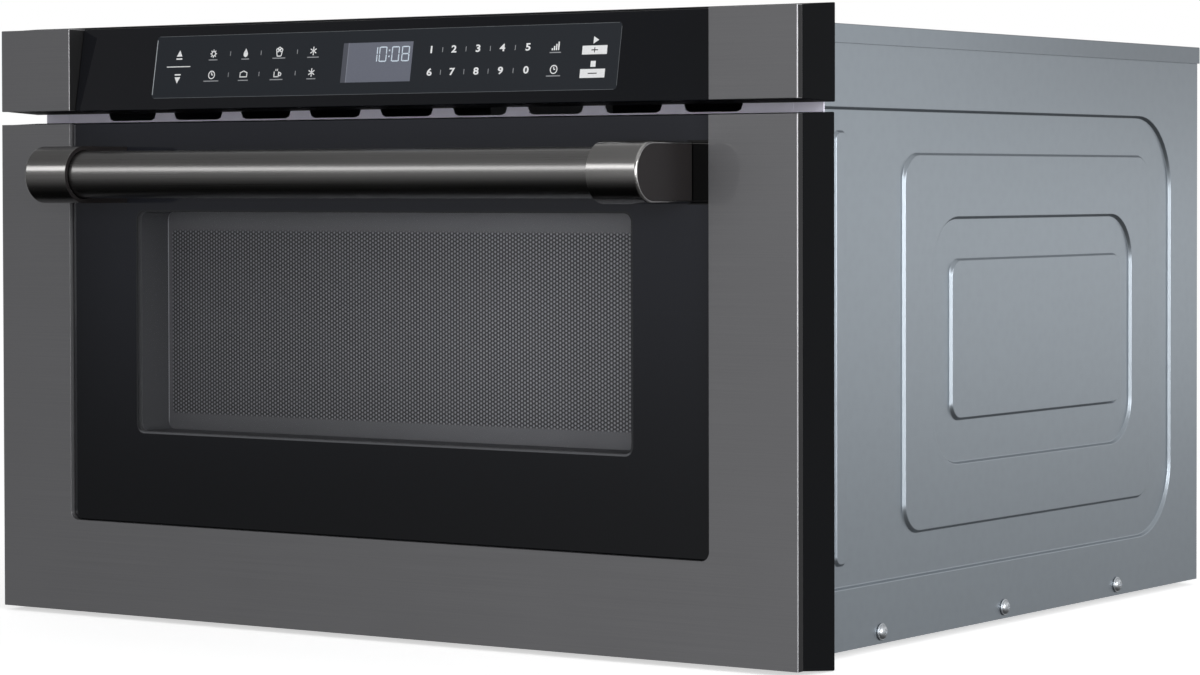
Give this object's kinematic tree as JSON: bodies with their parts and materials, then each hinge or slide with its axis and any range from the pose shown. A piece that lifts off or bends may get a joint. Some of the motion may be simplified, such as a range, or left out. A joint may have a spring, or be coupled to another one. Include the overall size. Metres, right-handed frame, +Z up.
{
  "type": "built-in microwave drawer",
  "caption": "Built-in microwave drawer: steel case with an oven cavity, a sloped touch fascia and a glazed door with a bar handle that slides out carrying an open-topped box.",
  "frame": {"origin": "centre of the case's flat base", "axes": "+X to the right as seen from the front, +Y to the back, +Z up; the drawer opens towards -Y"},
  "size_m": [0.6064, 0.6214, 0.3762],
  "materials": {
    "case_steel": "galvanised, satin",
    "dark_steel": "dark brushed, horizontal grain",
    "cavity_steel": "satin",
    "black_moulding": "fine matt",
    "black_glass": "gloss, dark print behind",
    "ceramic_plate": "opaque white glass-ceramic",
    "screen_steel": "perforated, grey",
    "bright_zinc": "bright zinc plate",
    "grey_moulding": "matt",
    "white_moulding": "matt",
    "mica_sheet": "matt sheet",
    "copper_winding": "lacquered",
    "circuit_board": "solder resist",
    "display_panel": "gloss",
    "nylon": "natural"
  },
  "bodies": {
    "case": {"base_pan": "case_steel", "control_board": "circuit_board", "control_glass": "black_glass", "cord_gland": "black_moulding", "display_module": "display_panel", "drive_gearbox": "grey_moulding", "end_cap_left": "dark_steel", "end_cap_right": "dark_steel", "fan_housing": "black_moulding", "fan_motor": "copper_winding", "fascia_body": "black_moulding", "filter_board": "circuit_board", "front_plate": "case_steel", "latch_switch_left": "white_moulding", "latch_switch_right": "white_moulding", "magnetron": "bright_zinc", "outer_slide_left": "bright_zinc", "outer_slide_right": "bright_zinc", "oven_cavity": "cavity_steel", "oven_lamp": "white_moulding", "power_capacitor": "bright_zinc", "power_transformer": "copper_winding", "rear_panel": "case_steel", "side_panel_left": "case_steel", "side_panel_right": "case_steel", "side_screw_front_left": "bright_zinc", "side_screw_front_right": "bright_zinc", "side_screw_middle_left": "bright_zinc", "side_screw_middle_right": "bright_zinc", "side_screw_rear_left": "bright_zinc", "side_screw_rear_right": "bright_zinc", "stirrer_cover": "mica_sheet", "stirrer_motor": "bright_zinc", "top_cover": "case_steel", "waveguide": "case_steel"},
    "drawer": {"door_frame": "dark_steel", "door_glass": "black_glass", "door_body": "black_moulding", "window_liner": "grey_moulding", "window_screen": "screen_steel", "door_inner_panel": "case_steel", "choke_cover": "grey_moulding", "handle_bar": "dark_steel", "handle_bracket_left": "dark_steel", "handle_bracket_right": "dark_steel", "drawer_box": "cavity_steel", "floor_plate": "ceramic_plate", "rail_left": "case_steel", "rail_right": "case_steel", "cross_bar": "case_steel", "drive_rack": "nylon", "latch_hook_left": "grey_moulding", "latch_hook_right": "grey_moulding", "inner_slide_left": "bright_zinc", "inner_slide_right": "bright_zinc"},
    "left_slide_member": {"middle_slide_left": "bright_zinc"},
    "right_slide_member": {"middle_slide_right": "bright_zinc"},
    "pinion": {"drive_pinion": "nylon"},
    "fan": {"fan_blade": "grey_moulding"},
    "stirrer": {"stirrer_blade": "bright_zinc"}
  },
  "joints": [
    {"name": "drawer_slide", "type": "slide", "parent": "case", "child": "drawer", "axis": [0, -1, 0], "range_m": [0, 0.38]},
    {"name": "left_member_slide", "type": "slide", "parent": "case", "child": "left_slide_member", "axis": [0, -1, 0], "range_m": [0, 0.19]},
    {"name": "right_member_slide", "type": "slide", "parent": "case", "child": "right_slide_member", "axis": [0, -1, 0], "range_m": [0, 0.19]},
    {"name": "pinion_turn", "type": "hinge", "parent": "case", "child": "pinion", "pos_m": [0.026, -0.225, 0.053], "axis": [1, 0, 0], "range_deg": [-2, 1454]},
    {"name": "fan_turn", "type": "hinge", "parent": "case", "child": "fan", "pos_m": [-0.15, 0.247, 0.176], "axis": [0, 1, 0], "continuous": true},
    {"name": "stirrer_turn", "type": "hinge", "parent": "case", "child": "stirrer", "pos_m": [0, -0.06, 0.278], "axis": [0, 0, 1], "continuous": true}
  ],
  "couplings": [
    {"joint": "left_member_slide", "follows": "drawer_slide", "ratio": 0.5},
    {"joint": "right_member_slide", "follows": "drawer_slide", "ratio": 0.5},
    {"joint": "pinion_turn", "follows": "drawer_slide", "rad_per_m": 66.667}
  ]
}
